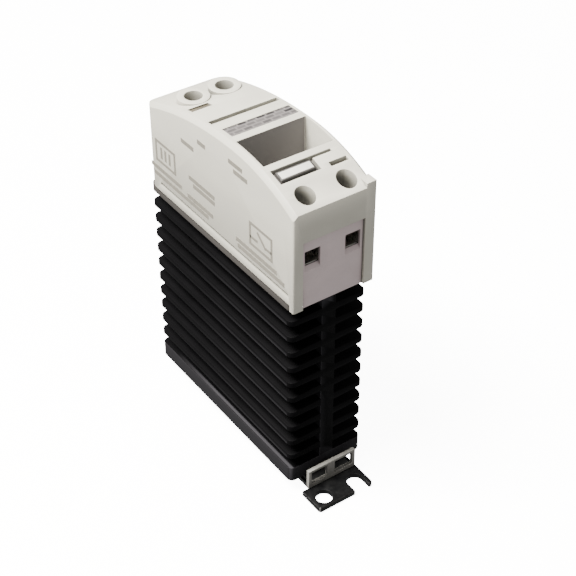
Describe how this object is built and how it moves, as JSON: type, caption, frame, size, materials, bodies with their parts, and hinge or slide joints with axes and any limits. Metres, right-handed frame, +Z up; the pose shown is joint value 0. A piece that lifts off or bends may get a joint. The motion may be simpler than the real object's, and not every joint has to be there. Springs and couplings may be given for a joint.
{
  "type": "solid state relay with heat sink",
  "caption": "Slim rail-mounted solid state relay: arched plastic housing with screw terminals on a black finned heat sink with a stamped mounting foot.",
  "frame": {"origin": "centre of the underside, in the plane the two feet rest on", "axes": "+X across the 22.5 mm width, +Y from the load terminals towards the control terminals, +Z up from the feet to the arched top"},
  "size_m": [0.0226, 0.0796, 0.0918],
  "materials": {
    "housing_plastic": "fine moulded grain",
    "panel_plastic": "fine moulded grain",
    "marker_plastic": "smooth",
    "label_film": "printed film",
    "smoked_window": "polished",
    "clear_pipe": "polished",
    "lamp_lens": "diffuse lens",
    "black_anodised": "satin black anodised",
    "grey_silicone": "soft",
    "nickel_copper": "nickel plated",
    "white_ceramic": "fired",
    "silicon": "polished",
    "black_moulding": "moulded",
    "plated_screw": "nickel plated",
    "tinned_copper": "tin plated",
    "clamp_steel": "zinc plated",
    "board_laminate": "solder resist",
    "film_box": "moulded",
    "resistor_body": "lacquered",
    "varistor_coat": "dipped",
    "black_steel": "black coated",
    "zinc_screw": "zinc plated",
    "zinc_steel": "zinc plated"
  },
  "bodies": {
    "relay": {"heat_sink": "black_anodised", "housing": "housing_plastic", "load_terminal_panel": "panel_plastic", "control_terminal_panel": "panel_plastic", "marker_strip": "marker_plastic", "rating_label": "label_film", "status_window": "smoked_window", "light_pipe": "clear_pipe", "status_lamp": "lamp_lens", "thermal_pad": "grey_silicone", "module_base": "nickel_copper", "ceramic_substrate": "white_ceramic", "thyristor_dies": "silicon", "module_case": "black_moulding", "module_screws": "plated_screw", "load_busbars": "tinned_copper", "busbar_screws": "plated_screw", "control_bars": "tinned_copper", "circuit_board": "board_laminate", "gate_pins": "tinned_copper", "board_pillars": "black_moulding", "opto_coupler": "black_moulding", "opto_legs": "tinned_copper", "snubber_capacitor": "film_box", "snubber_resistor": "resistor_body", "varistor": "varistor_coat", "varistor_legs": "tinned_copper", "driver_chip": "black_moulding", "chip_resistors": "black_moulding", "near_foot": "black_steel", "far_foot": "black_steel", "foot_screws": "zinc_screw"},
    "latch": {"rail_latch": "zinc_steel"},
    "load_screw_left": {"load_screw_left": "plated_screw"},
    "load_clamp_left": {"load_clamp_left": "clamp_steel"},
    "control_screw_left": {"control_screw_left": "plated_screw"},
    "control_clamp_left": {"control_clamp_left": "clamp_steel"},
    "load_screw_right": {"load_screw_right": "plated_screw"},
    "load_clamp_right": {"load_clamp_right": "clamp_steel"},
    "control_screw_right": {"control_screw_right": "plated_screw"},
    "control_clamp_right": {"control_clamp_right": "clamp_steel"}
  },
  "joints": [
    {"name": "latch_slide", "type": "slide", "parent": "relay", "child": "latch", "axis": [0, -1, 0], "range_m": [0, 0.0032], "stiffness_N_per_m": 1500, "springref_m": -0.002},
    {"name": "load_screw_left_turn", "type": "hinge", "parent": "relay", "child": "load_screw_left", "pos_m": [-0.0056, -0.0279, 0.08], "axis": [0, 0, -1], "range_deg": [0, 1800]},
    {"name": "load_clamp_left_rise", "type": "slide", "parent": "relay", "child": "load_clamp_left", "axis": [0, 0, 1], "range_m": [0, 0.003]},
    {"name": "control_screw_left_turn", "type": "hinge", "parent": "relay", "child": "control_screw_left", "pos_m": [-0.0044, 0.0194, 0.078], "axis": [0, 0, -1], "range_deg": [0, 1800]},
    {"name": "control_clamp_left_rise", "type": "slide", "parent": "relay", "child": "control_clamp_left", "axis": [0, 0, 1], "range_m": [0, 0.0025]},
    {"name": "load_screw_right_turn", "type": "hinge", "parent": "relay", "child": "load_screw_right", "pos_m": [0.0056, -0.0279, 0.08], "axis": [0, 0, -1], "range_deg": [0, 1800]},
    {"name": "load_clamp_right_rise", "type": "slide", "parent": "relay", "child": "load_clamp_right", "axis": [0, 0, 1], "range_m": [0, 0.003]},
    {"name": "control_screw_right_turn", "type": "hinge", "parent": "relay", "child": "control_screw_right", "pos_m": [0.0044, 0.0194, 0.078], "axis": [0, 0, -1], "range_deg": [0, 1800]},
    {"name": "control_clamp_right_rise", "type": "slide", "parent": "relay", "child": "control_clamp_right", "axis": [0, 0, 1], "range_m": [0, 0.0025]}
  ],
  "couplings": [
    {"joint": "load_screw_left_turn", "follows": "load_clamp_left_rise", "rad_per_m": 10472},
    {"joint": "control_screw_left_turn", "follows": "control_clamp_left_rise", "rad_per_m": 12566},
    {"joint": "load_screw_right_turn", "follows": "load_clamp_right_rise", "rad_per_m": 10472},
    {"joint": "control_screw_right_turn", "follows": "control_clamp_right_rise", "rad_per_m": 12566}
  ]
}
